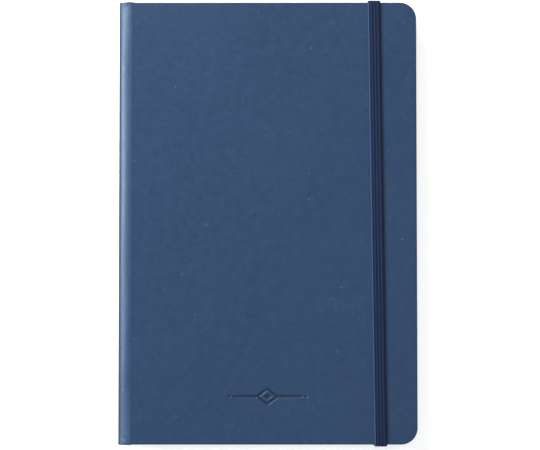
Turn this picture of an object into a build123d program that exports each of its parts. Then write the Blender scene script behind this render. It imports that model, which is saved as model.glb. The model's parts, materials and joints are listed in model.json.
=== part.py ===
from build123d import *
import os

# A pilot logbook: sewn sections of paper in a hard leatherette case, held shut by an elastic band.
#
# Millimetres. +X runs from the spine to the fore-edge, +Y from the tail to the head, and +Z out of
# the front cover. The origin is under the middle of the closed book, on the surface it lies on.
# Distances named "u" are measured along +X from the outer face of the spine.

# ---- the closed book ----
COVER_WIDTH = 143.5
COVER_HEIGHT = 213.0
BOOK_THICKNESS = 16.0
COVER_CORNER_RADIUS = 8.0

# ---- layers of a cover, from outside to inside ----
LEATHER = 0.5
BOARD = 2.0
TURN_IN = 0.3
PASTEDOWN = 0.15
COVER_THICKNESS = LEATHER + BOARD + TURN_IN + PASTEDOWN
TURN_IN_WIDTH = 15.0
BOARD_SETBACK = 0.2

# ---- spine and joints ----
JOINT_WIDTH = 7.0
SHOULDER_STEP = 0.25
SPINE_PANEL_LENGTH = 9.0
SPINE_INLAY = 0.8

# ---- text block ----
SQUARE = 3.0
FOLD_U = 2.0
FACE_GAP = 0.05
MIDDLE_GAP = 0.04
FLYLEAF = 0.15
SECTION_COUNT = 12
FOLD_RADIUS = 0.36
PAGE_CORNER_RADIUS = 6.0
SEWING_STATIONS = 6
STATION_SPREAD = 180.0
NOTCH_WIDTH = 2.0
NOTCH_DEPTH = 0.5
THREAD_RADIUS = 0.2
ENDPAPER_START_U = 2.3

# ---- spine lining and endbands ----
MULL = 0.25
LINER = 0.2
LINING_WIDTH = 8.8
MULL_LENGTH = 190.0
LINER_LENGTH = 200.0
BAND_RADIUS = 0.7
BAND_U = 2.55
BAND_SINK = 0.15
BAND_END_MARGIN = 0.4

# ---- elastic band ----
ELASTIC_WIDTH = 6.0
ELASTIC_THICKNESS = 0.9
ELASTIC_U_HEAD = 123.05
ELASTIC_U_TAIL = 125.85
ELASTIC_REST_GAP = 0.12
ELASTIC_EDGE_GAP = 0.05
ELASTIC_FLOOR_GAP = 0.02
CHANNEL_CLEARANCE = 0.1
SLOT_FROM_EDGE = 12.5
TAB_LENGTH = 13.0

# ---- worked out from the above ----
HALF_HEIGHT = COVER_HEIGHT / 2
MIDDLE_Z = BOOK_THICKNESS / 2
BOARD_HEIGHT = COVER_HEIGHT - 2 * LEATHER
BLOCK_HEIGHT = COVER_HEIGHT - 2 * SQUARE
BLOCK_EDGE_U = COVER_WIDTH - SQUARE
BLOCK_BOTTOM = COVER_THICKNESS + FACE_GAP
INNER_FACE = LEATHER + BOARD
WINDOW_EDGE_U = COVER_WIDTH - LEATHER - TURN_IN_WIDTH
WINDOW_HEIGHT = BOARD_HEIGHT - 2 * TURN_IN_WIDTH
SECTIONS_PER_HALF = SECTION_COUNT // 2
SECTION_THICKNESS = (MIDDLE_Z - MIDDLE_GAP / 2 - BLOCK_BOTTOM - FLYLEAF) / SECTIONS_PER_HALF
CUT = 1.0


def x_of(u):
    """X of a distance from the outer face of the spine."""
    return u - COVER_WIDTH / 2


def block(u_low, u_high, y_low, y_high, z_low, z_high):
    """A plain box between two corners."""
    size = (u_high - u_low, y_high - y_low, z_high - z_low)
    centre = (x_of((u_low + u_high) / 2), (y_low + y_high) / 2, (z_low + z_high) / 2)
    return Pos(*centre) * Box(*size)


def leaf(u_low, u_high, height, z_low, thickness, corner_radius):
    """A flat sheet whose two fore-edge corners are rounded."""
    outline = Rectangle(u_high - u_low, height)
    outline = fillet(outline.vertices().group_by(Axis.X)[-1], corner_radius)
    return Pos(x_of((u_low + u_high) / 2), 0, z_low) * extrude(outline, thickness)


def to_front(part):
    """The same piece on the front half of the book, mirrored about the middle of its thickness."""
    return mirror(part, about=Plane.XY.offset(MIDDLE_Z))


# ---- covers, made as the rear one ----


def cover_board():
    start_u = JOINT_WIDTH + BOARD_SETBACK
    radius = COVER_CORNER_RADIUS - LEATHER
    return leaf(start_u, COVER_WIDTH - LEATHER, BOARD_HEIGHT, LEATHER, BOARD, radius)


def cover_leatherette():
    """The outer skin, wrapped round three edges of the board and turned in on its inner face."""
    skin = leaf(
        JOINT_WIDTH, COVER_WIDTH, COVER_HEIGHT, 0, INNER_FACE + TURN_IN, COVER_CORNER_RADIUS
    )
    radius = COVER_CORNER_RADIUS - LEATHER
    skin -= leaf(
        JOINT_WIDTH - CUT, COVER_WIDTH - LEATHER, BOARD_HEIGHT, LEATHER, BOARD, radius
    )
    half_window = WINDOW_HEIGHT / 2
    skin -= block(
        JOINT_WIDTH - CUT, WINDOW_EDGE_U, -half_window, half_window, LEATHER, INNER_FACE + CUT
    )
    return skin


def pastedown():
    """Endpaper glued inside the cover, over the edges of the turn-ins."""
    start_u = JOINT_WIDTH + BOARD_SETBACK
    over_turn_ins = leaf(
        start_u, BLOCK_EDGE_U, BLOCK_HEIGHT, INNER_FACE + TURN_IN, PASTEDOWN, PAGE_CORNER_RADIUS
    )
    half_window = WINDOW_HEIGHT / 2
    in_window = block(
        start_u, WINDOW_EDGE_U, -half_window, half_window, INNER_FACE, INNER_FACE + TURN_IN
    )
    return over_turn_ins + in_window


def endpaper_hinge():
    """The part of the endpaper that crosses the joint between the block and the board."""
    half_block = BLOCK_HEIGHT / 2
    return block(
        ENDPAPER_START_U,
        JOINT_WIDTH + BOARD_SETBACK,
        -half_block,
        half_block,
        COVER_THICKNESS - PASTEDOWN,
        COVER_THICKNESS,
    )


def joint_leatherette():
    """The rounded leatherette between the cover board and the spine panel."""
    panel_end = MIDDLE_Z - SPINE_PANEL_LENGTH / 2
    depth = panel_end - SHOULDER_STEP
    centre = (x_of(JOINT_WIDTH), panel_end)
    quarter = (
        (JOINT_WIDTH, depth),
        (JOINT_WIDTH - LEATHER, depth - LEATHER),
    )
    outer, inner = [
        EllipticalCenterArc(centre, along, down, start_angle=180, arc_size=90)
        for along, down in quarter
    ]
    ends = [Line(outer @ 0, inner @ 0), Line(outer @ 1, inner @ 1)]
    profile = Plane.XZ.offset(-HALF_HEIGHT) * make_face([outer, inner, *ends])
    return extrude(profile, COVER_HEIGHT)


# ---- spine panel ----


def spine_inlay():
    half_panel = SPINE_PANEL_LENGTH / 2
    half_board = BOARD_HEIGHT / 2
    return block(
        LEATHER,
        LEATHER + SPINE_INLAY,
        -half_board,
        half_board,
        MIDDLE_Z - half_panel,
        MIDDLE_Z + half_panel,
    )


def spine_leatherette():
    """The spine's outer skin, folded over the head and tail ends of the inlay."""
    half_panel = SPINE_PANEL_LENGTH / 2
    skin = block(
        0,
        LEATHER + SPINE_INLAY,
        -HALF_HEIGHT,
        HALF_HEIGHT,
        MIDDLE_Z - half_panel,
        MIDDLE_Z + half_panel,
    )
    return skin - spine_inlay()


# ---- text block ----


def station_positions():
    step = STATION_SPREAD / (SEWING_STATIONS - 1)
    return [i * step - STATION_SPREAD / 2 for i in range(SEWING_STATIONS)]


def section(z_low):
    """A folded section of leaves, with notches in its fold for the sewing."""
    body = leaf(
        FOLD_U, BLOCK_EDGE_U, BLOCK_HEIGHT, z_low, SECTION_THICKNESS, PAGE_CORNER_RADIUS
    )
    fold_edges = body.edges().filter_by(Axis.Y).group_by(Axis.X)[0]
    body = fillet(fold_edges, FOLD_RADIUS)
    for y in station_positions():
        body -= block(
            FOLD_U - CUT,
            FOLD_U + NOTCH_DEPTH,
            y - NOTCH_WIDTH / 2,
            y + NOTCH_WIDTH / 2,
            z_low - CUT,
            z_low + SECTION_THICKNESS + CUT,
        )
    return body


def section_bottoms():
    """Heights of the sections' lower faces, from the front of the book to its back."""
    rear = [BLOCK_BOTTOM + FLYLEAF + i * SECTION_THICKNESS for i in range(SECTIONS_PER_HALF)]
    front = [BOOK_THICKNESS - z - SECTION_THICKNESS for z in rear]
    return front + rear[::-1]


def flyleaf():
    return leaf(FOLD_U, BLOCK_EDGE_U, BLOCK_HEIGHT, BLOCK_BOTTOM, FLYLEAF, PAGE_CORNER_RADIUS)


def sewing_thread():
    """The linking stitches, one strand up the folds at each sewing station."""
    length = 2 * SECTIONS_PER_HALF * SECTION_THICKNESS
    x = x_of(FOLD_U + NOTCH_DEPTH / 2)
    strands = [Pos(x, y, MIDDLE_Z) * Cylinder(THREAD_RADIUS, length) for y in station_positions()]
    return Compound(children=strands)


def lining(u_high, thickness, length):
    """A strip glued along the folds of the sections."""
    half_width = LINING_WIDTH / 2
    return block(
        u_high - thickness,
        u_high,
        -length / 2,
        length / 2,
        MIDDLE_Z - half_width,
        MIDDLE_Z + half_width,
    )


def endband():
    """The bead that sits on the head of the block, against the spine."""
    half_block = BLOCK_HEIGHT / 2
    length = BOOK_THICKNESS - 2 * (BLOCK_BOTTOM + BAND_END_MARGIN)
    y = half_block + BAND_RADIUS - BAND_SINK
    bead = Pos(x_of(BAND_U), y, MIDDLE_Z) * Cylinder(BAND_RADIUS, length)
    return bead - block(0, 2 * BAND_U, 0, half_block, 0, BOOK_THICKNESS)


# ---- elastic band ----

ELASTIC_EDGE_Y = HALF_HEIGHT + ELASTIC_EDGE_GAP
ELASTIC_OUTER_Y = ELASTIC_EDGE_Y + ELASTIC_THICKNESS
ELASTIC_REAR_TOP = ELASTIC_FLOOR_GAP + ELASTIC_THICKNESS
ELASTIC_FRONT_BOTTOM = BOOK_THICKNESS + ELASTIC_REST_GAP
SLOT_Y = HALF_HEIGHT - SLOT_FROM_EDGE


def elastic_front_run():
    """The run over the front cover, a little askew."""
    half = ELASTIC_WIDTH / 2
    head, tail = x_of(ELASTIC_U_HEAD), x_of(ELASTIC_U_TAIL)
    corners = [
        (tail - half, -ELASTIC_OUTER_Y),
        (tail + half, -ELASTIC_OUTER_Y),
        (head + half, ELASTIC_OUTER_Y),
        (head - half, ELASTIC_OUTER_Y),
    ]
    outline = make_face(Polyline(*corners, close=True))
    return Pos(0, 0, ELASTIC_FRONT_BOTTOM) * extrude(outline, ELASTIC_THICKNESS)


def elastic_head_run():
    half = ELASTIC_WIDTH / 2
    return block(
        ELASTIC_U_HEAD - half,
        ELASTIC_U_HEAD + half,
        ELASTIC_EDGE_Y,
        ELASTIC_OUTER_Y,
        ELASTIC_REAR_TOP,
        ELASTIC_FRONT_BOTTOM,
    )


def elastic_tail_run():
    shift = ELASTIC_U_TAIL - ELASTIC_U_HEAD
    return Pos(shift, 0, 0) * mirror(elastic_head_run(), about=Plane.XZ)


def elastic_anchor(u, margin):
    """The rear run at the head: along the cover's outside, up its slot and glued in place inside.
    With a margin it is the space that the cover leaves for it."""
    half = ELASTIC_WIDTH / 2 + margin
    outside = block(
        u - half,
        u + half,
        SLOT_Y - ELASTIC_THICKNESS - margin,
        ELASTIC_OUTER_Y,
        ELASTIC_FLOOR_GAP - margin,
        ELASTIC_REAR_TOP + margin / 2,
    )
    riser = block(
        u - half,
        u + half,
        SLOT_Y - ELASTIC_THICKNESS - margin,
        SLOT_Y + margin,
        ELASTIC_FLOOR_GAP - margin,
        INNER_FACE,
    )
    tab = block(
        u - half,
        u + half,
        SLOT_Y - TAB_LENGTH - margin,
        SLOT_Y + margin,
        INNER_FACE - ELASTIC_THICKNESS - margin / 2,
        INNER_FACE,
    )
    return outside + riser + tab


def elastic_anchors(margin=0.0):
    """The rear run at the head and the one at the tail."""
    head = elastic_anchor(ELASTIC_U_HEAD, margin)
    tail = mirror(elastic_anchor(ELASTIC_U_TAIL, margin), about=Plane.XZ)
    return head, tail


# ---- the nodes ----


def build_nodes():
    nodes = {}
    rear_board = cover_board()
    rear_leather = cover_leatherette()
    for channel in elastic_anchors(CHANNEL_CLEARANCE):
        rear_board -= channel
        rear_leather -= channel
    nodes["rear_cover_board"] = rear_board
    nodes["rear_cover_leatherette"] = rear_leather
    nodes["front_cover_board"] = to_front(cover_board())
    nodes["front_cover_leatherette"] = to_front(cover_leatherette())

    mirrored_pieces = {
        "pastedown": pastedown(),
        "endpaper_hinge": endpaper_hinge(),
        "joint_leatherette": joint_leatherette(),
        "flyleaf": flyleaf(),
    }
    for name, rear_piece in mirrored_pieces.items():
        nodes[f"rear_{name}"] = rear_piece
        nodes[f"front_{name}"] = to_front(rear_piece)

    for number, z_low in enumerate(section_bottoms(), start=1):
        nodes[f"section_{number:02d}"] = section(z_low)

    nodes["spine_inlay"] = spine_inlay()
    nodes["spine_leatherette"] = spine_leatherette()
    nodes["sewing_thread"] = sewing_thread()
    nodes["spine_mull"] = lining(FOLD_U, MULL, MULL_LENGTH)
    nodes["spine_liner"] = lining(FOLD_U - MULL, LINER, LINER_LENGTH)
    nodes["head_band"] = endband()
    nodes["tail_band"] = mirror(endband(), about=Plane.XZ)

    head_anchor, tail_anchor = elastic_anchors()
    nodes["elastic_front_run"] = elastic_front_run()
    nodes["elastic_head_run"] = elastic_head_run()
    nodes["elastic_tail_run"] = elastic_tail_run()
    nodes["elastic_rear_head"] = head_anchor
    nodes["elastic_rear_tail"] = tail_anchor
    return nodes


os.makedirs("parts", exist_ok=True)
for node_name, shape in build_nodes().items():
    export_step(shape, f"parts/{node_name}.step")
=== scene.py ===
"""Looks of the pilot logbook: leatherette case, sewn leaves and elastic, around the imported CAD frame."""

import json
import math
import random

import bmesh
import bpy
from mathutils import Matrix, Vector


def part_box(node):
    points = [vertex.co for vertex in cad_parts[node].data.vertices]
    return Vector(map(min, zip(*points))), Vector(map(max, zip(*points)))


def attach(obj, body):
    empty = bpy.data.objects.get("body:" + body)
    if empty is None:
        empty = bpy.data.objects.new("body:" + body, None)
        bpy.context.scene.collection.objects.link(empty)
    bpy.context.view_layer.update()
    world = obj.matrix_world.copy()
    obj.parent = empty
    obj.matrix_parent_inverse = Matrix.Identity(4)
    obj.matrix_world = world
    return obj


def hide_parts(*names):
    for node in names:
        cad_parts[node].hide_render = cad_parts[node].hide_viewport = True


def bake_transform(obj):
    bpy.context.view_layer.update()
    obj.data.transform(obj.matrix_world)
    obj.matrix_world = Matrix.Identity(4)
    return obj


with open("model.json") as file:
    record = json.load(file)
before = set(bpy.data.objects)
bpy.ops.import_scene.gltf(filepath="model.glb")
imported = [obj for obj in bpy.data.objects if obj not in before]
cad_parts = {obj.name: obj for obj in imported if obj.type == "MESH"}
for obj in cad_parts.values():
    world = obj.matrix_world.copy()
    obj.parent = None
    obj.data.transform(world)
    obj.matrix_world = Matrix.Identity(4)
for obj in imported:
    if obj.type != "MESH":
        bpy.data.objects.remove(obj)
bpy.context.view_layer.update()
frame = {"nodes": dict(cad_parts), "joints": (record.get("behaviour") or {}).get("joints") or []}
random.seed(7)

MM = 0.001

# ---------------------------------------------------------------- sizes, from the frame
cover_low, cover_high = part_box("front_cover_leatherette")
spine_low, spine_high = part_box("spine_leatherette")
run_low, run_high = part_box("elastic_front_run")
head_low, head_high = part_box("elastic_head_run")
tail_low, tail_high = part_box("elastic_tail_run")
book_opening = next(joint for joint in frame["joints"] if joint["name"] == "book_opening")
SPINE_X = spine_low.x
JOINT_X = cover_low.x
FORE_X = cover_high.x
HALF_HEIGHT = cover_high.y
TOP_Z = cover_high.z
INNER_Z = cover_low.z  # the inner face of the front cover
MIDDLE_Z = TOP_Z / 2
PANEL_TOP_Z = spine_high.z
PIVOT_X = book_opening["pos_m"][0]
ELASTIC_WIDTH = head_high.x - head_low.x
ELASTIC_THICKNESS = run_high.z - run_low.z
ELASTIC_X_HEAD = (head_low.x + head_high.x) / 2
ELASTIC_X_TAIL = (tail_low.x + tail_high.x) / 2
ELASTIC_END_Y = head_high.y
ELASTIC_SIDE_Y = (head_low.y + head_high.y) / 2
ELASTIC_FRONT_Z = (run_low.z + run_high.z) / 2
ELASTIC_REAR_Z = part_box("elastic_rear_head")[0].z + ELASTIC_THICKNESS / 2

# the case
SKIN = 0.35 * MM
COVER_CORNER = 8.0 * MM
CORNER_STEPS = 12
FORE_REACH = HALF_HEIGHT - COVER_CORNER
FACE_INSET = 1.6 * MM
EDGE_ROUND = 0.8 * MM
INNER_ROUND = 0.5 * MM
EDGE_STEPS = 6
TURN_IN_WIDTH = 15.5 * MM
MITRE_GAP = 0.05 * MM
MITRE_ROUND = 0.25 * MM
ORNAMENT_Y = -HALF_HEIGHT + 23.0 * MM
ORNAMENT_DEPTH = 0.32 * MM
SLOT_Y = HALF_HEIGHT - 12.5 * MM
CHANNEL_DEPTH = 0.98 * MM
JOINT_ROLL = 0.26 * MM
JOINT_STEPS = 36

# the paper, the lining and the elastic
PAGE_CORNER = 6.0 * MM
SECTIONS = 12
LEAVES = 8
LEAF_GAP = 0.012 * MM
LEAF_ROWS = (-1.0, -0.66, -0.33, 0.0, 0.33, 0.66, 1.0)
ENDPAPER_THICKNESS = 0.12 * MM
FOLD_ZONE = 0.5 * MM
ELASTIC_RIBS = 4
BAND_COLUMNS = 49
BAND_THICKNESS = ELASTIC_THICKNESS * 0.94
BEND_RADIUS = 0.75 * MM

# how near points are joined, and the angles past which an edge is shaded sharp
WELD_DISTANCE = 1e-7
SHEET_SHARP_ANGLE = math.radians(65)
BAND_SHARP_ANGLE = math.radians(70)


# ---------------------------------------------------------------- meshes
def tidy_faces(mesh, smooth=True, weld=True):
    """Turns the faces outwards and sets their shading. weld joins the points that coincide."""
    bm = bmesh.new()
    bm.from_mesh(mesh)
    if weld:
        bmesh.ops.remove_doubles(bm, verts=bm.verts, dist=WELD_DISTANCE)
        bmesh.ops.dissolve_degenerate(bm, edges=bm.edges, dist=WELD_DISTANCE)
    bmesh.ops.recalc_face_normals(bm, faces=bm.faces)
    for face in bm.faces:
        face.smooth = smooth
    bm.to_mesh(mesh)
    bm.free()


def link_object(name, mesh):
    obj = bpy.data.objects.new(name, mesh)
    bpy.context.scene.collection.objects.link(obj)
    return obj


def link_mesh(name, verts, faces, smooth=True):
    """An object in the scene, from a list of vertices and a list of faces."""
    mesh = bpy.data.meshes.new(name)
    mesh.from_pydata([tuple(v) for v in verts], [], faces)
    tidy_faces(mesh, smooth)
    return link_object(name, mesh)


def grid_faces(rows, columns, start=0):
    """Quads of a grid whose vertices run row by row."""
    faces = []
    for r in range(rows - 1):
        for c in range(columns - 1):
            a = start + r * columns + c
            faces.append((a, a + 1, a + columns + 1, a + columns))
    return faces


def tube_faces(rings, sides, capped=True):
    """Faces of a tube whose vertices run ring by ring, with both ends closed if it is capped."""
    faces = []
    for ring in range(rings - 1):
        for s in range(sides):
            a, b = ring * sides + s, ring * sides + (s + 1) % sides
            faces.append((a, b, b + sides, a + sides))
    if capped:
        faces.append(tuple(range(sides)))
        faces.append(tuple(range(rings * sides - 1, (rings - 1) * sides - 1, -1)))
    return faces


def joined(parts):
    """One list of vertices and one of faces from several such pairs."""
    verts, faces = [], []
    for part, part_faces in parts:
        base = len(verts)
        verts += part
        faces += [tuple(i + base for i in face) for face in part_faces]
    return verts, faces


def apply_modifiers(obj):
    """Puts the result of the object's modifiers into its mesh."""
    evaluated = obj.evaluated_get(bpy.context.evaluated_depsgraph_get())
    mesh = bpy.data.meshes.new_from_object(evaluated)
    obj.modifiers.clear()
    obj.data = mesh


def thicken(obj, thickness, growth):
    """Gives a sheet a thickness. growth gives the direction that it grows in at a point."""
    bm = bmesh.new()
    bm.from_mesh(obj.data)
    score = sum(f.normal.dot(growth(f.calc_center_median())) * f.calc_area() for f in bm.faces)
    if score > 0:
        bmesh.ops.reverse_faces(bm, faces=bm.faces)
    bm.to_mesh(obj.data)
    bm.free()
    solid = obj.modifiers.new("thickness", "SOLIDIFY")
    solid.thickness = thickness
    solid.offset = -1.0
    apply_modifiers(obj)
    obj.data.set_sharp_from_angle(angle=SHEET_SHARP_ANGLE)


def dress(obj, material):
    """Gives an object its one material."""
    obj.data.materials.clear()
    obj.data.materials.append(material)


# ---------------------------------------------------------------- numbers
def spaced(low, high, step):
    """Evenly spaced values from low to high, about step apart."""
    count = max(1, round(abs(high - low) / step))
    return [low + (high - low) * i / count for i in range(count + 1)]


def refined(low, high, coarse, zones):
    """Values from low to high that are closer together inside the zones (from, to, step)."""
    values = [low]
    for start, end, step in sorted(zones):
        values += spaced(values[-1], start, coarse)[1:]
        values += spaced(start, end, step)[1:]
    values += spaced(values[-1], high, coarse)[1:]
    return values


def quarter_turn(steps):
    """Angles from 0 to a quarter turn."""
    return [i * math.pi / 2 / steps for i in range(steps + 1)]


def smoothstep(value, low, high):
    """0 up to low, 1 from high on, and a smooth step between them."""
    t = min(1.0, max(0.0, (value - low) / (high - low)))
    return t * t * (3 - 2 * t)


# ---------------------------------------------------------------- shader nodes
def new_material(name, settings):
    """A material, its node tree and its shader, with the shader's constant inputs set."""
    material = bpy.data.materials.new(name)
    material.use_nodes = True
    shader = material.node_tree.nodes["Principled BSDF"]
    for key, value in settings.items():
        shader.inputs[key].default_value = value
    return material, material.node_tree, shader


def fill_socket(tree, socket, value):
    """Links a socket to an input, or sets the input to a constant."""
    if isinstance(value, bpy.types.NodeSocket):
        tree.links.new(value, socket)
    else:
        socket.default_value = value


def add_node(tree, kind, inputs=None, **settings):
    node = tree.nodes.new(kind)
    for key, value in settings.items():
        setattr(node, key, value)
    for key, value in (inputs or {}).items():
        fill_socket(tree, node.inputs[key], value)
    return node


def maths(tree, operation, first, second=0.0):
    return add_node(tree, "ShaderNodeMath", {0: first, 1: second}, operation=operation).outputs[0]


def multiply(tree, first, *others):
    for other in others:
        first = maths(tree, "MULTIPLY", first, other)
    return first


def largest(tree, first, *others):
    for other in others:
        first = maths(tree, "MAXIMUM", first, other)
    return first


def between(tree, value, low, high):
    """1 where the value lies between low and high, and 0 elsewhere."""
    return multiply(tree, maths(tree, "GREATER_THAN", value, low), maths(tree, "LESS_THAN", value, high))


def waves(tree, value, wavelength):
    """A sine of the value."""
    return maths(tree, "SINE", maths(tree, "MULTIPLY", value, 2 * math.pi / wavelength))


def ramp(tree, value, low, high, low_out=0.0, high_out=1.0):
    """Goes from low_out to high_out as the value goes from low to high, and holds at both ends."""
    inputs = {"Value": value, "From Min": low, "From Max": high, "To Min": low_out, "To Max": high_out}
    return add_node(tree, "ShaderNodeMapRange", inputs, clamp=True).outputs["Result"]


def mix_colours(tree, factor, first, second):
    node = add_node(tree, "ShaderNodeMix", data_type="RGBA")
    # the colour mix takes its factor at socket 0 and its colours at sockets 6 and 7
    for socket, value in ((0, factor), (6, first), (7, second)):
        fill_socket(tree, node.inputs[socket], value)
    return node.outputs[2]


def to_linear(value):
    """Linear light of one 8-bit display value."""
    share = value / 255
    return share / 12.92 if value <= 10 else ((share + 0.055) / 1.055) ** 2.4


def rgb(red, green, blue):
    return to_linear(red), to_linear(green), to_linear(blue), 1.0


def darkened(colour, share):
    red, green, blue, _ = colour
    return red * share, green * share, blue * share, 1.0


def noise(tree, vector, scale, detail=3.0, roughness=0.5):
    inputs = {"Vector": vector, "Scale": scale, "Detail": detail, "Roughness": roughness}
    return add_node(tree, "ShaderNodeTexNoise", inputs).outputs["Fac"]


def bump(tree, shader, height, strength, distance, previous=None):
    """Roughens the surface, on top of a previous bump if there is one."""
    inputs = {"Height": height, "Strength": strength, "Distance": distance}
    if previous is not None:
        inputs["Normal"] = previous
    normal = add_node(tree, "ShaderNodeBump", inputs).outputs["Normal"]
    tree.links.new(normal, shader.inputs["Normal"])
    return normal


def coordinates(tree, kind="Object"):
    return add_node(tree, "ShaderNodeTexCoord").outputs[kind]


def split(tree, vector):
    """The X, Y and Z sockets of a vector."""
    return add_node(tree, "ShaderNodeSeparateXYZ", {"Vector": vector}).outputs


# ---------------------------------------------------------------- materials
def recess_shade_mask(tree, place):
    """Where the ornament is pressed in: painted shade darkens the bottom of the recess."""
    x, y, z = split(tree, place)
    return multiply(
        tree,
        ramp(tree, z, TOP_Z - 0.26 * MM, TOP_Z - 0.14 * MM, 1.0, 0.0),
        maths(tree, "GREATER_THAN", z, TOP_Z - 0.6 * MM),
        between(tree, x, -21 * MM, 21 * MM),
        between(tree, y, ORNAMENT_Y - 6 * MM, ORNAMENT_Y + 6 * MM),
    )


def speck_mask(tree, place):
    """Rare small specks with ragged outlines."""
    stir = add_node(tree, "ShaderNodeTexNoise", {"Vector": place, "Scale": 900.0}).outputs["Color"]
    shift = add_node(tree, "ShaderNodeVectorMath", {0: stir, "Scale": 0.9 * MM}, operation="SCALE")
    ragged = add_node(tree, "ShaderNodeVectorMath", {0: place, 1: shift.outputs[0]}, operation="ADD")
    inputs = {"Vector": ragged.outputs[0], "Scale": 165.0}
    cells = add_node(tree, "ShaderNodeTexVoronoi", inputs, feature="F1")
    near_middle = ramp(tree, cells.outputs["Distance"], 0.035, 0.10, 1.0, 0.0)
    is_chosen = ramp(tree, cells.outputs["Color"], 0.64, 0.72)
    return multiply(tree, near_middle, is_chosen)


def hairline_mask(tree, place):
    """Thin winding scuffs, in some areas only."""
    from_ridge = maths(tree, "ABSOLUTE", maths(tree, "SUBTRACT", noise(tree, place, 48.0), 0.5))
    some_areas = ramp(tree, noise(tree, place, 33.0, 1.0), 0.56, 0.66)
    return multiply(tree, ramp(tree, from_ridge, 0.0, 0.006, 1.0, 0.0), some_areas)


def leatherette_material():
    """Fine-grained blue leatherette with faint clouding, pale specks and hairline scuffs."""
    material, tree, shader = new_material("leatherette_blue", {"Specular IOR Level": 0.4})
    place = coordinates(tree)
    clouds = ramp(tree, noise(tree, place, 28.0), 0.35, 0.65)
    mottle = noise(tree, place, 260.0, 4.0, 0.6)
    pores = noise(tree, place, 1300.0, 2.0)
    spine_edge_shade = add_node(tree, "ShaderNodeAttribute", attribute_name="spine_edge_shade").outputs["Fac"]
    colour = mix_colours(tree, clouds, rgb(34, 58, 87), rgb(38, 62, 92))
    layers = (
        (ramp(tree, mottle, 0.32, 0.68, 0.0, 0.75), rgb(44, 69, 99)),
        (ramp(tree, pores, 0.38, 0.62, 0.0, 0.5), rgb(48, 74, 105)),
        (multiply(tree, speck_mask(tree, place), 0.45), rgb(104, 128, 160)),
        (multiply(tree, hairline_mask(tree, place), 0.14), rgb(92, 115, 148)),
        # painted shade in the recess of the pressed ornament
        (multiply(tree, recess_shade_mask(tree, place), 0.8), rgb(22, 42, 68)),
        # painted shade: a dark strip along the spine's edge
        (multiply(tree, spine_edge_shade, 0.7), rgb(14, 28, 50)),
    )
    for share, layer_colour in layers:
        colour = mix_colours(tree, share, colour, layer_colour)
    tree.links.new(colour, shader.inputs["Base Color"])
    tree.links.new(ramp(tree, mottle, 0.3, 0.7, 0.31, 0.40), shader.inputs["Roughness"])

    cells = add_node(tree, "ShaderNodeTexVoronoi", {"Vector": place, "Scale": 1500.0}, feature="SMOOTH_F1")
    fine = multiply(tree, noise(tree, place, 3200.0, 2.0), 0.6)
    grain = maths(tree, "ADD", cells.outputs["Distance"], fine)
    grained = bump(tree, shader, grain, 0.35, 0.1 * MM)
    bump(tree, shader, noise(tree, place, 110.0), 0.20, 0.4 * MM, grained)
    return material


def line_mask(tree, value, position, half_width):
    """1 on a line across the value, and 0 beside it, with soft edges."""
    offset = maths(tree, "ABSOLUTE", maths(tree, "SUBTRACT", value, position))
    return ramp(tree, offset, half_width * 0.6, half_width * 1.4, 1.0, 0.0)


def add_ruling(tree, place, paper):
    """A blank table of thin lines, with a tinted heading row, on the faces of the leaves only."""
    left, right = SPINE_X + 16 * MM, SPINE_X + 131 * MM
    bottom, top = -HALF_HEIGHT + 14 * MM, HALF_HEIGHT - 15 * MM
    heading = top - 17 * MM
    row_height = (heading - bottom) / 20
    column_places = [left + offset * MM for offset in (14, 32, 46, 60, 68, 76, 84, 92, 103)]
    thin, thick = 0.13 * MM, 0.25 * MM
    margin = 0.3 * MM

    x, y, _ = split(tree, place)
    inside = multiply(tree, between(tree, x, left, right), between(tree, y, bottom, top))
    rows_down = maths(tree, "DIVIDE", maths(tree, "SUBTRACT", heading, y), row_height)
    rows = ramp(tree, maths(tree, "PINGPONG", rows_down, 0.5), 0.010, 0.022, 1.0, 0.0)
    rows = multiply(tree, rows, maths(tree, "LESS_THAN", y, heading + row_height * 0.1))
    columns = largest(tree, *[line_mask(tree, x, place_x, thin) for place_x in column_places])
    frame_lines = ((x, left), (x, right), (y, top), (y, bottom), (y, heading))
    border = largest(tree, *[line_mask(tree, value, position, thick) for value, position in frame_lines])
    lines = largest(tree, multiply(tree, largest(tree, rows, columns), inside), border)
    in_table_x = between(tree, x, left - margin, right + margin)
    in_table_y = between(tree, y, bottom - margin, top + margin)

    facing = split(tree, coordinates(tree, "Normal"))[2]
    on_face = maths(tree, "GREATER_THAN", maths(tree, "ABSOLUTE", facing), 0.8)
    tint = multiply(tree, maths(tree, "GREATER_THAN", y, heading), inside, on_face, 0.35)
    ink = multiply(tree, lines, in_table_x, in_table_y, on_face, 0.75)
    tinted = mix_colours(tree, tint, paper, rgb(160, 186, 205))
    return mix_colours(tree, ink, tinted, rgb(96, 118, 140))


def paper_material(name, colour, ruled=False):
    """Slightly fibrous uncoated paper; the page paper is ruled as a blank logbook table."""
    material, tree, shader = new_material(name, {"Roughness": 0.85, "Specular IOR Level": 0.25})
    place = coordinates(tree)
    fibre = noise(tree, place, 900.0, 4.0, 0.6)
    tone = noise(tree, place, 35.0, 2.0)
    result = mix_colours(tree, ramp(tree, fibre, 0.3, 0.7), darkened(colour, 0.93), colour)
    result = mix_colours(tree, ramp(tree, tone, 0.3, 0.7, 0.0, 0.4), result, darkened(colour, 0.96))
    if ruled:
        result = add_ruling(tree, place, result)
    tree.links.new(result, shader.inputs["Base Color"])
    bump(tree, shader, fibre, 0.15, 0.1 * MM)
    return material


def board_material():
    """Grey board with flecks."""
    material, tree, shader = new_material("grey_board", {"Roughness": 0.9})
    flecks = noise(tree, coordinates(tree), 700.0, 5.0, 0.7)
    colour = mix_colours(tree, ramp(tree, flecks, 0.35, 0.65), rgb(128, 122, 112), rgb(158, 151, 140))
    tree.links.new(colour, shader.inputs["Base Color"])
    bump(tree, shader, flecks, 0.3, 0.2 * MM)
    return material


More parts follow.
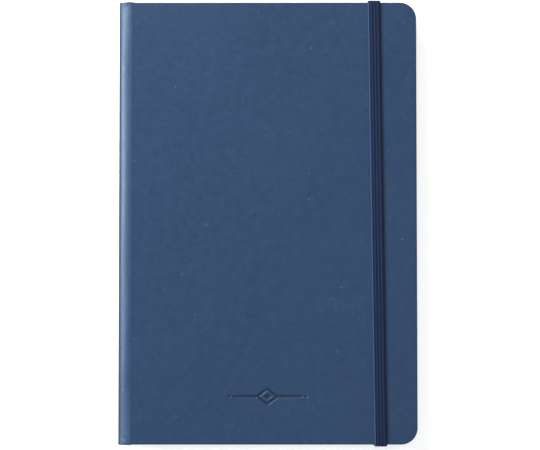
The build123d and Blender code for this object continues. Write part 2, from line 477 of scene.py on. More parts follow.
def woven_material(name, dark, light, pitch, ridge):
    """Cloth with a plain weave of the given pitch, in metres."""
    material, tree, shader = new_material(name, {"Roughness": 0.8})
    _, y, z = split(tree, coordinates(tree))
    weave = multiply(tree, waves(tree, y, pitch), waves(tree, z, pitch))
    colour = mix_colours(tree, ramp(tree, weave, -0.6, 0.6), dark, light)
    tree.links.new(colour, shader.inputs["Base Color"])
    bump(tree, shader, weave, 0.5, ridge)
    return material


def elastic_material():
    """Woven elastic: lengthwise ribs, fine cross threads and a painted highlight along the edge that faces
    the key light.
    """
    settings = {
        "Roughness": 0.72,
        "Specular IOR Level": 0.3,
        "Sheen Weight": 0.06,
        "Sheen Roughness": 0.4,
    }
    material, tree, shader = new_material("elastic_woven", settings)
    uv = coordinates(tree, "UV")
    across, along, _ = split(tree, uv)
    wobble = multiply(tree, maths(tree, "SUBTRACT", noise(tree, uv, 220.0, 2.0), 0.5), 0.05)
    ribs = waves(tree, maths(tree, "ADD", across, wobble), 1 / ELASTIC_RIBS)
    stitches = ramp(tree, waves(tree, along, 0.55 * MM), -1.0, 1.0, 0.55, 1.0)
    chain = multiply(tree, ramp(tree, ribs, -0.8, 1.0), stitches)
    streaked = add_node(tree, "ShaderNodeMapping", {"Vector": uv, "Scale": (3.0, 320.0, 1.0)})
    patchy = ramp(tree, noise(tree, streaked.outputs["Vector"], 1.0), 0.3, 0.7, 0.45, 1.0)
    colour = mix_colours(tree, multiply(tree, chain, patchy), rgb(6, 26, 58), rgb(22, 44, 78))
    # painted highlight: the band's left edge is made paler
    left_edge_highlight = multiply(tree, ramp(tree, across, 0.04, 0.12, 1.0, 0.0), 0.85)
    colour = mix_colours(tree, left_edge_highlight, colour, rgb(58, 82, 120))
    tree.links.new(colour, shader.inputs["Base Color"])
    ribbed = bump(tree, shader, chain, 0.5, 0.2 * MM)
    bump(tree, shader, noise(tree, uv, 900.0, 2.0), 0.2, 0.1 * MM, ribbed)
    return material


def endband_material():
    """Silk-covered bead in navy and pale stripes."""
    material, tree, shader = new_material("endband_silk", {"Roughness": 0.5})
    z = split(tree, coordinates(tree))[2]
    stripe = ramp(tree, waves(tree, z, 1.5 * MM), -0.15, 0.15)
    colour = mix_colours(tree, stripe, rgb(36, 54, 92), rgb(214, 214, 206))
    tree.links.new(colour, shader.inputs["Base Color"])
    bump(tree, shader, waves(tree, z, 0.25 * MM), 0.5, 0.1 * MM)
    return material


def floor_material():
    """A pale floor that glows a little, most around the book."""
    settings = {"Roughness": 0.9, "Emission Color": (1.0, 1.0, 1.0, 1.0)}
    material, tree, shader = new_material("studio_floor", settings)
    place = coordinates(tree)
    pale, paler = (0.90, 0.90, 0.90, 1.0), (0.93, 0.93, 0.93, 1.0)
    colour = mix_colours(tree, noise(tree, place, 6.0, 2.0), pale, paler)
    tree.links.new(colour, shader.inputs["Base Color"])
    radius = add_node(tree, "ShaderNodeVectorMath", {0: place}, operation="LENGTH").outputs["Value"]
    tree.links.new(ramp(tree, radius, 0.30, 1.10, 0.62, 0.20), shader.inputs["Emission Strength"])
    return material


LEATHERETTE = leatherette_material()
PAGE_PAPER = paper_material("page_paper_ruled", rgb(240, 235, 220), ruled=True)
ENDPAPER = paper_material("endpaper_cream", rgb(233, 225, 204))
BOARD = board_material()
MULL_CLOTH = woven_material("mull_cloth", rgb(190, 182, 160), rgb(226, 220, 202), 1.0 * MM, 0.2 * MM)
THREAD = woven_material("sewing_thread_waxed", rgb(200, 196, 184), rgb(232, 229, 218), 0.3 * MM, 0.1 * MM)
KRAFT = paper_material("liner_kraft", rgb(176, 148, 110))
ELASTIC = elastic_material()
ENDBAND = endband_material()


# ---------------------------------------------------------------- camera, light and floor
CAMERA_DISTANCE = 1.1
CAMERA_TILT = math.radians(3.2)
VIEW_WIDTH = 0.25949  # metres across the picture, at the front cover
SENSOR_WIDTH = 36.0
SWEEP_SIDES = 64
SWEEP_PROFILE = ((0.0, 0.0), (0.6, 0.0), (1.8, 0.0), (2.3, 0.06), (2.7, 0.3), (3.0, 0.8), (3.1, 1.5))


def add_camera():
    """A camera almost straight above the closed book."""
    data = bpy.data.cameras.new("camera")
    data.sensor_width = SENSOR_WIDTH
    data.lens = CAMERA_DISTANCE * SENSOR_WIDTH / VIEW_WIDTH
    data.shift_x = 0.0042
    data.shift_y = -0.0050
    data.clip_end = 20.0
    camera = link_object("camera", data)
    back = Vector((0, -math.sin(CAMERA_TILT), math.cos(CAMERA_TILT)))
    camera.location = Vector((0, 0, TOP_Z)) + back * CAMERA_DISTANCE
    camera.rotation_euler = (CAMERA_TILT, 0, 0)
    bpy.context.scene.camera = camera


def add_world():
    """An even pale background, with colours shown as they are."""
    world = bpy.data.worlds.new("studio")
    world.use_nodes = True
    background = world.node_tree.nodes["Background"]
    background.inputs["Color"].default_value = (0.97, 0.985, 1.0, 1.0)
    background.inputs["Strength"].default_value = 0.29
    bpy.context.scene.world = world
    bpy.context.scene.view_settings.view_transform = "Standard"
    bpy.context.scene.view_settings.look = "None"


def add_area_light(name, place, size, power, colour=(1, 1, 1)):
    """A rectangular light that points at the origin."""
    data = bpy.data.lights.new(name, "AREA")
    data.shape = "RECTANGLE"
    data.size, data.size_y = size
    data.energy = power
    data.color = colour
    light = link_object(name, data)
    light.location = place
    light.rotation_euler = (-Vector(place)).to_track_quat("-Z", "Y").to_euler()


def add_sweep():
    """A round floor just under the book, which rises at its rim."""
    verts = []
    for radius, height in SWEEP_PROFILE:
        for i in range(SWEEP_SIDES):
            angle = 2 * math.pi * i / SWEEP_SIDES
            verts.append((radius * math.cos(angle), radius * math.sin(angle), height - 0.02 * MM))
    sweep = link_mesh("studio_sweep", verts, tube_faces(len(SWEEP_PROFILE), SWEEP_SIDES, capped=False))
    dress(sweep, floor_material())


def add_studio():
    add_camera()
    add_world()
    add_area_light("key_left", (-1.12, 0.20, 0.64), (0.42, 0.5), 17.0, (0.68, 0.83, 1.0))
    add_area_light("head_fill", (-0.30, 0.52, 0.50), (0.35, 0.35), 3.75)
    add_area_light("top_soft", (0.35, -0.2, 1.9), (1.4, 1.4), 1.5)
    add_sweep()


# ---------------------------------------------------------------- cover skins
def debossed_depth(x, y):
    """Depth, from 0 to 1, of the plain lozenge-and-rule ornament pressed into the front cover."""
    dx, dy = abs(x) / MM, abs(y - ORNAMENT_Y) / MM
    lozenge = (dx / 5.6 + dy / 4.2 - 1) * 3.36
    depth = 1 - smoothstep(abs(lozenge + 0.45), 0.40, 0.70)
    depth = max(depth, 1 - smoothstep(lozenge + 2.35, 0.0, 0.30))
    if dx > 5.4:
        half_width = 0.22 + 0.40 * (1 - (dx - 5.4) / 11.6)
        rule = max(dy - half_width, dx - 16.8)
        depth = max(depth, 1 - smoothstep(rule, 0.0, 0.30))
    dot = math.hypot(dx - 18.4, dy)
    return max(depth, 1 - smoothstep(dot, 0.50, 0.80))


def channel_depth(x, y):
    """Depth of the channel that the elastic lies in on the rear cover."""
    if abs(y) < SLOT_Y - 2 * MM:
        return 0.0
    centre = ELASTIC_X_HEAD if y > 0 else ELASTIC_X_TAIL
    half_width = ELASTIC_WIDTH / 2
    across = 1 - smoothstep(abs(x - centre), half_width + 0.12 * MM, half_width + 0.55 * MM)
    along = smoothstep(abs(y), SLOT_Y - 1.25 * MM, SLOT_Y - 0.95 * MM)
    return CHANNEL_DEPTH * across * along


def cover_lines(is_front):
    """Columns and rows of a cover, closer together at the ornament or the elastic's channels."""
    squeeze = FORE_REACH / (HALF_HEIGHT - FACE_INSET)
    near_columns = [(JOINT_X, JOINT_X + 1.2 * MM, 0.3 * MM)]
    if is_front:
        low, high = ORNAMENT_Y - 5.2 * MM, ORNAMENT_Y + 5.2 * MM
        near_columns.append((-20.0 * MM, 20.0 * MM, 0.2 * MM))
        near_rows = [(low * squeeze, high * squeeze, 0.2 * MM)]
    else:
        left = min(ELASTIC_X_HEAD, ELASTIC_X_TAIL) - 4.2 * MM
        right = max(ELASTIC_X_HEAD, ELASTIC_X_TAIL) + 4.2 * MM
        start = (SLOT_Y - 3 * MM) * squeeze
        near_columns.append((left, right, 0.22 * MM))
        near_rows = [(-FORE_REACH, -start, 0.35 * MM), (start, FORE_REACH, 0.35 * MM)]
    columns = refined(JOINT_X, FORE_X - COVER_CORNER, 4 * MM, near_columns)
    return columns, refined(-FORE_REACH, FORE_REACH, 4 * MM, near_rows)


def outer_face(columns, rows):
    """The outer face: columns of points, each scaled to the height of the outline there."""
    turn = COVER_CORNER - FACE_INSET
    reaches = [(x, HALF_HEIGHT - FACE_INSET) for x in columns]
    for angle in quarter_turn(CORNER_STEPS)[1:]:
        x = FORE_X - COVER_CORNER + turn * math.sin(angle)
        reaches.append((x, FORE_REACH + turn * math.cos(angle)))
    verts = [(x, y / FORE_REACH * reach, TOP_Z) for x, reach in reaches for y in rows]
    return verts, grid_faces(len(reaches), len(rows))


def edge_profile():
    """Points (inset, z) from the outer face, round the cover's edge, to the end of the turn-in."""
    angles = quarter_turn(EDGE_STEPS)
    profile = [(FACE_INSET, TOP_Z)]
    for a in angles:
        profile.append((EDGE_ROUND * (1 - math.sin(a)), TOP_Z - EDGE_ROUND * (1 - math.cos(a))))
    for a in angles:
        profile.append((INNER_ROUND * (1 - math.cos(a)), INNER_Z + INNER_ROUND * (1 - math.sin(a))))
    profile += [(inset * MM, INNER_Z) for inset in (2.2, 5, 8)]
    profile.append((TURN_IN_WIDTH, INNER_Z + 0.02 * MM))
    return profile


def outline_stations(columns, rows):
    """Places round the cover's three free edges: head, corner, fore-edge, corner, tail."""
    arc = quarter_turn(CORNER_STEPS)[1:-1]
    stations = [("head", x, 0.0) for x in columns]
    stations += [("head_corner", 0.0, a) for a in arc]
    stations += [("fore", y, 0.0) for y in reversed(rows)]
    stations += [("tail_corner", 0.0, a) for a in reversed(arc)]
    stations += [("tail", x, 0.0) for x in reversed(columns)]
    return stations


def inset_point(station, inset):
    """The place of an edge station moved inwards. Past the corner's radius the corners are mitred."""
    kind, value, angle = station
    edge_x, edge_y = FORE_X - inset, HALF_HEIGHT - inset
    if kind == "fore":
        return edge_x, max(MITRE_GAP - edge_y, min(edge_y - MITRE_GAP, value))
    if kind in ("head", "tail"):
        x, y = min(value, edge_x - MITRE_GAP), edge_y
    else:
        reach = max(MITRE_ROUND, COVER_CORNER - inset)
        x = FORE_X - max(COVER_CORNER, inset) + reach * math.sin(angle)
        y = HALF_HEIGHT - max(COVER_CORNER, inset) + reach * math.cos(angle)
    return x, (y if kind.startswith("head") else -y)


def rolled_edge(columns, rows):
    """The edges and turn-ins: the profile carried round the outline, with pleats at the corners."""
    profile = edge_profile()
    stations = outline_stations(columns, rows)
    verts = []
    for number, station in enumerate(stations):
        is_corner = station[0].endswith("corner")
        for inset, z in profile:
            x, y = inset_point(station, inset)
            if is_corner and z < INNER_Z + 0.1 * MM and inset > 0.4 * MM:
                z += 0.09 * MM * math.sin(number * 2.4)
            verts.append((x, y, z))
    return verts, grid_faces(len(stations), len(profile))


def cover_height(point, is_front):
    """Z of a point of a cover's skin, with its faint waves, the ornament and the channels."""
    x, y, z = point
    if z > TOP_Z - 0.9 * MM:
        wave = 0.05 * MM * math.sin(x * 61 + 1.3) * math.cos(y * 47)
        z += wave * smoothstep(FORE_X - abs(x), 0, 10 * MM)
        if is_front:
            z -= ORNAMENT_DEPTH * debossed_depth(x, y)
    if is_front:
        return z
    return TOP_Z - min(z, TOP_Z - channel_depth(x, y))


def cover_skin(side):
    """The leatherette of one cover: outer face, rolled edges and the turn-ins with corner pleats."""
    is_front = side == "front"
    columns, rows = cover_lines(is_front)
    verts, faces = joined([outer_face(columns, rows), rolled_edge(columns, rows)])
    obj = link_mesh(f"{side}_cover_skin", verts, faces)
    for vertex in obj.data.vertices:
        vertex.co.z = cover_height(vertex.co, is_front)
    board_z = (INNER_Z + TOP_Z) / 2 if is_front else TOP_Z - (INNER_Z + TOP_Z) / 2
    thicken(obj, SKIN, lambda point: Vector((-0.02 * point.x, -0.02 * point.y, board_z - point.z)))
    dress(obj, LEATHERETTE)
    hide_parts(f"{side}_cover_leatherette")
    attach(obj, f"{side}_cover")


# ---------------------------------------------------------------- joints and spine
def shoulder_point(share, y, inset):
    """A point of the rounded shoulder, from the cover (share 0) to the spine panel (share 1)."""
    angle = share * math.pi / 2
    fall = 0.85 * MM + 0.8 * MM * smoothstep(abs(y), 72 * MM, 102 * MM)
    rise = TOP_Z - PANEL_TOP_Z - fall
    back = math.sin(angle)
    # the slope sets in softly over the first stretch
    soft = 0.22
    slide = back * back / (2 * soft) if back < soft else back - soft / 2
    x = JOINT_X - (JOINT_X - SPINE_X - inset) * back
    z = PANEL_TOP_Z + (rise - inset) * math.cos(angle) + fall * (1 - slide / (1 - soft / 2))
    return x, z


def pleats(share, y):
    """Height of the small folds of the turned-in leatherette at the two ends of a shoulder."""
    reach = 4.2 * MM
    inwards = HALF_HEIGHT - abs(y)
    fold_line = share - 0.20 - 0.60 * inwards / reach
    fold = math.exp(-((fold_line / 0.07) ** 2)) + 0.6 * math.exp(-(((fold_line - 0.25) / 0.06) ** 2))
    ripple = 0.35 * math.sin(share * 24 + abs(y) * 900) * (1 - smoothstep(inwards, 0, 2.2 * MM))
    fade = (1 - smoothstep(inwards, 0, reach)) * math.sin(min(1.0, share * 1.15) * math.pi)
    return (0.24 * fold + 0.07 * ripple) * MM * fade


def shoulder_surface(share, y, inset):
    """A point of the shoulder's skin, with its waves, end pleats and fuller ends."""
    x, z = shoulder_point(share, y, inset)
    tuck = 0.06 * MM * (1 - smoothstep(share, 0.0, 0.04))
    wave = 0.035 * MM * math.sin(y * 75 + share * 3) * math.sin(share * math.pi)
    lift = pleats(share, y) if inset < JOINT_ROLL else 0.0
    plump = 0.06 * MM * smoothstep(abs(y), HALF_HEIGHT - 16 * MM, HALF_HEIGHT - 12 * MM)
    plump *= math.sin(min(1.0, share * 1.7) * math.pi)
    bulge = 0.22 * MM * smoothstep(abs(y), HALF_HEIGHT - 2.5 * MM, HALF_HEIGHT - 0.4 * MM)
    bulge *= smoothstep(share, 0.0, 0.12) * (1 - smoothstep(share, 0.75, 1.0))
    return x - lift * 0.4, y + math.copysign(bulge, y), z + wave + lift - tuck + plump


def joint_rows():
    """Rows of the shoulder's skin as (y, inset): the last ones roll over the edge and turn in."""
    half = HALF_HEIGHT
    rolled = []
    for a in quarter_turn(5):
        rolled.append((half - JOINT_ROLL * (1 - math.sin(a)), JOINT_ROLL * (1 - math.cos(a))))
    for a in (0.5, 1.0, 1.57):
        rolled.append((half - JOINT_ROLL * (1 - math.cos(a)), JOINT_ROLL * (1 + math.sin(a))))
    for depth in (1.2, 2.5, 5.0):
        rolled.append((half - depth * MM, 2 * JOINT_ROLL))
    end, fine = half - JOINT_ROLL, half - 7 * MM
    straight = refined(-end, end, 3 * MM, [(-end, -half + 7 * MM, 0.35 * MM), (fine, end, 0.35 * MM)])
    return [(-y, inset) for y, inset in reversed(rolled)] + [(y, 0.0) for y in straight[1:-1]] + rolled


def add_spine_edge_shade(obj):
    """Marks the strip along the spine's edge where painted shade darkens the leatherette."""
    spine_edge_shade = obj.data.attributes.new("spine_edge_shade", "FLOAT", "POINT")
    for vertex in obj.data.vertices:
        spine_edge_shade.data[vertex.index].value = 1 - smoothstep(vertex.co.x - SPINE_X, 0.8 * MM, 1.4 * MM)


def joint_skin(side):
    """The leatherette across one joint, from just under the cover's skin to the spine's edge."""
    rows = joint_rows()
    verts = []
    for y, inset in rows:
        verts.append((JOINT_X + 0.5 * MM, y, TOP_Z - 0.12 * MM - inset))
        verts += [shoulder_surface(i / JOINT_STEPS, y, inset) for i in range(JOINT_STEPS + 1)]
    if side == "rear":
        verts = [(x, y, TOP_Z - z) for x, y, z in verts]
    obj = link_mesh(f"{side}_joint_skin", verts, grid_faces(len(rows), JOINT_STEPS + 2))
    thicken(obj, SKIN * 0.7, lambda point: Vector((JOINT_X - point.x, 0, MIDDLE_Z - point.z)))
    add_spine_edge_shade(obj)
    dress(obj, LEATHERETTE)
    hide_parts(f"{side}_joint_leatherette")
    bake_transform(obj)


def spine_path():
    """Points (x, y) of the spine's skin, from its turned-in end at the head to the one at the tail."""
    half_board = HALF_HEIGHT - 0.5 * MM
    radius = (spine_high.x - SPINE_X) / 2
    turned = [(spine_high.x, half_board - 6 * MM), (spine_high.x, half_board)]
    for i in range(7):
        angle = i * math.pi / 6
        x = SPINE_X + radius + radius * math.cos(angle)
        turned.append((x, half_board + 0.5 * MM * math.sin(angle)))
    end = half_board - 1 * MM
    back = [(SPINE_X, y) for y in spaced(end, -end, 5 * MM)]
    return turned + back + [(x, -y) for x, y in reversed(turned)]


def spine_skin():
    """The flat back of the spine, folded over the inlay at the head and tail."""
    path = spine_path()
    levels = spaced(spine_low.z - 0.15 * MM, spine_high.z + 0.15 * MM, 0.6 * MM)
    verts = []
    for x, y in path:
        for z in levels:
            wave = 0.03 * MM * math.sin(y * 90 + z * 400)
            verts.append((x + max(0.0, wave), y, z))
    obj = link_mesh("spine_skin", verts, grid_faces(len(path), len(levels)))
    middle_x = (SPINE_X + spine_high.x) / 2
    thicken(obj, SKIN, lambda point: Vector((middle_x - point.x, -point.y * 0.001, 0)))
    dress(obj, LEATHERETTE)
    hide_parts("spine_leatherette")
    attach(obj, "spine_panel")


# ---------------------------------------------------------------- paper
def sheet_slab(xs, reach_at, rows, z_at, thickness):
    """A closed thin sheet: xs are its columns, reach_at its half height and z_at its lower surface."""
    verts = []
    for level in (0.0, thickness):
        for x in xs:
            verts += [(x, share * reach_at(x), z_at(x, share) + level) for share in rows]
    columns, count = len(xs), len(rows)
    layer = columns * count
    faces = [tuple(reversed(face)) for face in grid_faces(columns, count)]
    faces += grid_faces(columns, count, layer)
    rim = [c * count for c in range(columns)]
    rim += [(columns - 1) * count + r for r in range(1, count)]
    rim += [c * count + count - 1 for c in range(columns - 2, -1, -1)]
    rim += range(count - 2, 0, -1)
    for a, b in zip(rim, rim[1:] + rim[:1]):
        faces.append((a, b, b + layer, a + layer))
    return verts, faces


def page_columns(left, right, near=()):
    """Columns of a page, with the near ones by its fold and a rounded corner at the fore-edge."""
    xs = [left, *near, *spaced(max([left, *near]) + 2 * MM, right - PAGE_CORNER, 22 * MM)]
    return xs + [right - PAGE_CORNER + PAGE_CORNER * math.sin(a) for a in quarter_turn(7)[1:]]


def page_reach(right, half):
    """Half height of a page with rounded corners, as a function of x."""

    def reach(x):
        over = max(0.0, x - (right - PAGE_CORNER))
        return half - PAGE_CORNER + math.sqrt(max(0.0, PAGE_CORNER**2 - over**2))

    return reach


def section_leaves(number):
    """One sewn section: its leaves fan out from the fold and end a little unevenly."""
    node = f"section_{number:02d}"
    low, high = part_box(node)
    pitch = (high.z - low.z) / LEAVES
    middle = (low.z + high.z) / 2
    near = [low.x + d * MM for d in (0.35, 0.8, 1.5, 2.6, 4.2, 7.0)]
    parts = []
    for leaf in range(LEAVES):
        nested = abs(leaf - (LEAVES - 1) / 2) / LEAVES
        left = low.x + 0.28 * MM * nested
        right = high.x - random.uniform(0.0, 0.22) * MM - 0.1 * MM * nested
        half = high.y - random.uniform(0.0, 0.12) * MM
        droop = random.uniform(-0.4, 0.4) * LEAF_GAP
        offset = low.z + leaf * pitch - middle

        def level(x, share, offset=offset, droop=droop):
            spread = 0.62 + 0.38 * smoothstep(x, low.x, low.x + 7 * MM)
            return middle + offset * spread + 0.5 * LEAF_GAP + droop * share

        xs = page_columns(left, right, [x for x in near if x > left])
        thickness = (pitch - LEAF_GAP) * 0.93
        parts.append(sheet_slab(xs, page_reach(right, half), LEAF_ROWS, level, thickness))
    verts, faces = joined(parts)
    obj = link_mesh(f"{node}_leaves", verts, faces, smooth=False)
    dress(obj, PAGE_PAPER)
    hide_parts(node)
    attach(obj, "text_block_front" if number <= SECTIONS // 2 else "text_block_rear")


def flyleaf_sheet(side):
    """The free leaf of an endpaper, faintly wavy."""
    node = f"{side}_flyleaf"
    low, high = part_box(node)
    rows = [i / 10 - 1 for i in range(21)]

    def level(x, share):
        return low.z + 0.01 * MM + 0.015 * MM * math.sin(x * 70 + share * 3)

    xs = page_columns(low.x, high.x, spaced(low.x + 4 * MM, high.x - 30 * MM, 8 * MM))
    verts, faces = sheet_slab(xs, page_reach(high.x, high.y), rows, level, 0.1 * MM)
    obj = link_mesh(f"{side}_flyleaf_sheet", verts, faces, smooth=False)
    dress(obj, ENDPAPER)
    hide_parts(node)
    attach(obj, f"text_block_{side}")


def pastedown_sheet(side):
    """The endpaper glued to the board: it sinks a little inside the turn-ins' edges."""
    node = f"{side}_pastedown"
    low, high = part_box(node)
    edge_x, edge_y = FORE_X - TURN_IN_WIDTH, HALF_HEIGHT - TURN_IN_WIDTH
    offsets = [d * MM for d in (-1.2, -0.5, 0.0, 0.5)]
    even_rows = [i / 14 - 1 for i in range(29)]
    edge_rows = [sign * (edge_y + offset) / high.y for sign in (-1, 1) for offset in offsets]
    rows = sorted({round(row, 5) for row in even_rows + edge_rows})
    near = spaced(low.x + 4 * MM, edge_x - 2 * MM, 10 * MM) + [edge_x + offset for offset in offsets]
    reach = page_reach(high.x, high.y)

    def sink(x, y):
        inside_x = 1 - smoothstep(x, edge_x - 1.0 * MM, edge_x + 0.4 * MM)
        inside_y = 1 - smoothstep(abs(y), edge_y - 1.0 * MM, edge_y + 0.4 * MM)
        return 0.16 * MM * inside_x * inside_y

    def level(x, share):
        depth = sink(x, share * reach(x))
        return low.z + depth if side == "front" else high.z - depth - ENDPAPER_THICKNESS

    xs = page_columns(low.x, high.x, near)
    verts, faces = sheet_slab(xs, reach, rows, level, ENDPAPER_THICKNESS)
    obj = link_mesh(f"{side}_pastedown_sheet", verts, faces, smooth=False)
    dress(obj, ENDPAPER)
    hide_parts(node)
    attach(obj, f"{side}_cover")


def endpaper_fold(side):
    """The endpaper across the joint, from the board to the first leaf."""
    node = f"{side}_endpaper_hinge"
    low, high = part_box(node)
    xs = spaced(low.x - 0.2 * MM, high.x + 0.3 * MM, 0.22 * MM)
    rows = [i / 12 - 1 for i in range(25)]
    lower_z = low.z + 0.015 * MM
    verts, faces = sheet_slab(xs, lambda x: high.y, rows, lambda x, share: lower_z, ENDPAPER_THICKNESS)
    obj = link_mesh(f"{side}_endpaper_fold", verts, faces)
    dress(obj, ENDPAPER)
    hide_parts(node)
    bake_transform(obj)


# ---------------------------------------------------------------- spine lining, thread and bands
def towards_pivot(x, z, closest):
    """Draws a point near the middle of the block in to the pivot, where the block opens."""
    near = 1 - smoothstep(abs(z - MIDDLE_Z), 0.1 * MM, FOLD_ZONE + 0.5 * MM)
    return x + (PIVOT_X + closest - x) * near


def across_block(obj, node):
    """Hides the frame's part for a piece between the two halves of the text block, and bakes the piece's
    placing into its mesh.
    """
    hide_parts(node)
    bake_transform(obj)


def lining_levels(low, high):
    """Levels through the thickness of the block, closer together where it opens."""
    return refined(low, high, 0.8 * MM, [(MIDDLE_Z - 1.2 * MM, MIDDLE_Z + 1.2 * MM, 0.1 * MM)])


def lining_strip(name, node, material, closest):
    """A strip glued down the back of the block. closest is how near the pivot it comes."""
    low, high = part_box(node)
    thickness = (high.x - low.x) * 0.8
    levels = lining_levels(low.z, high.z)
    rows = spaced(low.y, high.y, 8 * MM)
    verts = [(towards_pivot(high.x - thickness, z, closest), y, z) for y in rows for z in levels]
    obj = link_mesh(name, verts, grid_faces(len(rows), len(levels)))
    thicken(obj, thickness * 0.9, lambda point: Vector((1, 0, 0)))
    dress(obj, material)
    across_block(obj, node)


def round_rod(points, radius, sides=8):
    """A closed rod of round section along points."""
    verts = []
    for i, point in enumerate(points):
        before, after = points[max(0, i - 1)], points[min(len(points) - 1, i + 1)]
        direction = (Vector(after) - Vector(before)).normalized()
        across = direction.cross(Vector((0, 1, 0)))
        if across.length < 0.1:
            across = direction.cross(Vector((1, 0, 0)))
        across.normalize()
        other = direction.cross(across)
        for s in range(sides):
            angle = 2 * math.pi * s / sides
            verts.append(Vector(point) + radius * (across * math.cos(angle) + other * math.sin(angle)))
    return verts, tube_faces(len(points), sides)


def sewing():
    """The thread behind the folds: two strands at each of the sewing stations."""
    low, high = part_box("sewing_thread")
    stations = 6
    x = (low.x + high.x) / 2
    parts = []
    for i in range(stations):
        y = low.y + 0.2 * MM + (high.y - low.y - 0.4 * MM) * i / (stations - 1)
        for side in (-0.22 * MM, 0.22 * MM):
            points = []
            for z in lining_levels(low.z, high.z):
                sway = side * math.cos(z * 2 * math.pi / (1.6 * MM))
                points.append((towards_pivot(x, z, 0.15 * MM), y + sway, z))
            parts.append(round_rod(points, 0.16 * MM))
    verts, faces = joined(parts)
    obj = link_mesh("sewing_thread_strands", verts, faces)
    dress(obj, THREAD)
    across_block(obj, "sewing_thread")


def endband(node):
    """A silk bead, cut flat where it sits on the ends of the leaves."""
    low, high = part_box(node)
    x, y = (low.x + high.x) / 2, (low.y + high.y) / 2
    radius = (high.x - low.x) / 2 * 0.92
    levels = lining_levels(low.z + 0.05 * MM, high.z - 0.05 * MM)
    verts, faces = round_rod([(towards_pivot(x, z, 0.95 * MM), y, z) for z in levels], radius, 14)
    outermost, inner = (max, low.y) if y > 0 else (min, high.y)
    clipped = [Vector((v.x, outermost(v.y, inner), v.z)) for v in verts]
    obj = link_mesh(f"{node}_bead", clipped, faces)
    dress(obj, ENDBAND)
    across_block(obj, node)


# ---------------------------------------------------------------- elastic
def elastic_x(y):
    """X of the middle of the elastic at a height up the cover."""
    y = max(-ELASTIC_END_Y, min(ELASTIC_END_Y, y))
    share = (y + ELASTIC_END_Y) / (2 * ELASTIC_END_Y)
    return ELASTIC_X_TAIL + (ELASTIC_X_HEAD - ELASTIC_X_TAIL) * share


def band_section():
    """Half thickness across the band, from 0 to 1, as (share, height): ribs between two selvedges."""
    section = []
    for i in range(BAND_COLUMNS):
        share = i / (BAND_COLUMNS - 1)
        edge = math.sqrt(max(0.0, 1 - abs(2 * share - 1) ** 8))
        rib = 0.86 + 0.14 * math.sin(2 * math.pi * ELASTIC_RIBS * share)
        section.append((share, max(0.12, edge * rib)))
    return section


def band_rings(path):
    """The band's rings of vertices along the path, and the place of each across and along it."""
    section = band_section()
    verts, coords = [], []
    travelled = 0.0
    for i, (y, z) in enumerate(path):
        before, after = path[max(0, i - 1)], path[min(len(path) - 1, i + 1)]
        tangent = Vector((0, after[0] - before[0], after[1] - before[1])).normalized()
        outwards = tangent.cross(Vector((1, 0, 0)))
        if i:
            travelled += math.dist(path[i], path[i - 1])
        x = elastic_x(y)
        ring = section + [(share, -height) for share, height in reversed(section)]
        for share, height in ring:
            middle = Vector((x + (share - 0.5) * ELASTIC_WIDTH, y, z))
            verts.append(middle + outwards * (height * BAND_THICKNESS / 2))
            coords.append((share, travelled))
    return verts, coords


def band_mesh(name, path):
    """A ribbed band along a path of (y, z) points; its x follows the slant of the elastic."""
    verts, coords = band_rings(path)
    mesh = bpy.data.meshes.new(name)
    mesh.from_pydata([tuple(v) for v in verts], [], tube_faces(len(path), 2 * BAND_COLUMNS))
    layer = mesh.uv_layers.new(name="band")
    for loop in mesh.loops:
        layer.data[loop.index].uv = coords[loop.vertex_index]
    tidy_faces(mesh, weld=False)
    mesh.set_sharp_from_angle(angle=BAND_SHARP_ANGLE)
    obj = link_object(name, mesh)
    dress(obj, ELASTIC)
    return obj


def corner_arc(centre_y, centre_z, start, end, count=8):
    """Points (y, z) of a bend of the elastic, between two angles in degrees."""
    points = []
    for i in range(count + 1):
        angle = math.radians(start + (end - start) * i / count)
        points.append((centre_y + BEND_RADIUS * math.cos(angle), centre_z + BEND_RADIUS * math.sin(angle)))
    return points


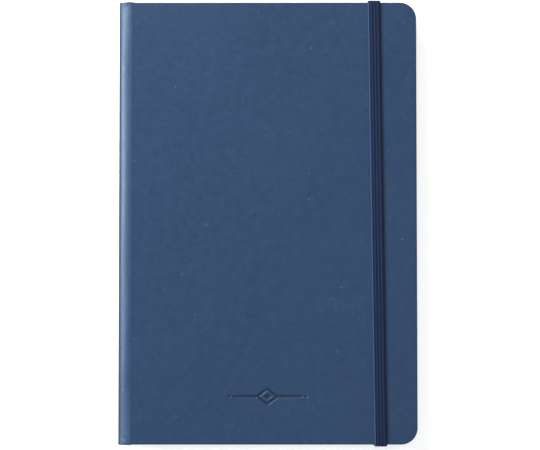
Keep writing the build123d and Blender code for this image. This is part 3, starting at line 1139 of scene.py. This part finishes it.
def elastic_front_run():
    """The run over the front cover, with its bends at the head and tail edges."""
    bend_y = ELASTIC_SIDE_Y - BEND_RADIUS
    bend = corner_arc(bend_y, ELASTIC_FRONT_Z - BEND_RADIUS, 0, 90)
    straight = [(y, ELASTIC_FRONT_Z) for y in spaced(bend_y, -bend_y, 2 * MM)]
    other_bend = [(-y, z) for y, z in reversed(bend)]
    piece = band_mesh("elastic_front_band", bend + straight[1:-1] + other_bend)
    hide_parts("elastic_front_run")
    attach(piece, "elastic_front")


def elastic_side_run(end, sign):
    """The run down the head or tail edge of the book."""
    top = ELASTIC_FRONT_Z - BEND_RADIUS + 0.05 * MM
    bottom = ELASTIC_REAR_Z + BEND_RADIUS
    path = [(sign * ELASTIC_SIDE_Y, z) for z in spaced(bottom, top, 0.4 * MM)]
    piece = band_mesh(f"elastic_{end}_side_band", path)
    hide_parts(f"elastic_{end}_run")
    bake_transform(piece)


def elastic_rear_run(end, sign):
    """The run in the rear cover's channel, from the riser in the slot to the bend at the edge."""
    slot_y = SLOT_Y - ELASTIC_THICKNESS / 2
    riser_top = 2.3 * MM
    bend_y = ELASTIC_SIDE_Y - BEND_RADIUS
    bend_z = ELASTIC_REAR_Z + BEND_RADIUS
    path = [(slot_y, z) for z in spaced(riser_top, bend_z, 0.4 * MM)[:-1]]
    path += corner_arc(slot_y + BEND_RADIUS, bend_z, 180, 270)
    path += [(y, ELASTIC_REAR_Z) for y in spaced(slot_y + BEND_RADIUS, bend_y, 0.5 * MM)[1:-1]]
    path += corner_arc(bend_y, bend_z, -90, 0)
    piece = band_mesh(f"elastic_rear_{end}_band", [(sign * y, z) for y, z in path])
    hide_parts(f"elastic_rear_{end}")
    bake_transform(piece)


# ---------------------------------------------------------------- build
add_studio()
for node in ("front_cover_board", "rear_cover_board", "spine_inlay"):
    dress(frame["nodes"][node], BOARD)
for side in ("front", "rear"):
    cover_skin(side)
for side in ("front", "rear"):
    joint_skin(side)
spine_skin()
for number in range(1, SECTIONS + 1):
    section_leaves(number)
for side in ("front", "rear"):
    flyleaf_sheet(side)
    pastedown_sheet(side)
    endpaper_fold(side)
lining_strip("spine_mull_cloth", "spine_mull", MULL_CLOTH, 0.25 * MM)
lining_strip("spine_liner_strip", "spine_liner", KRAFT, 0.02 * MM)
sewing()
endband("head_band")
endband("tail_band")
elastic_front_run()
for end, sign in (("head", 1), ("tail", -1)):
    elastic_side_run(end, sign)
    elastic_rear_run(end, sign)
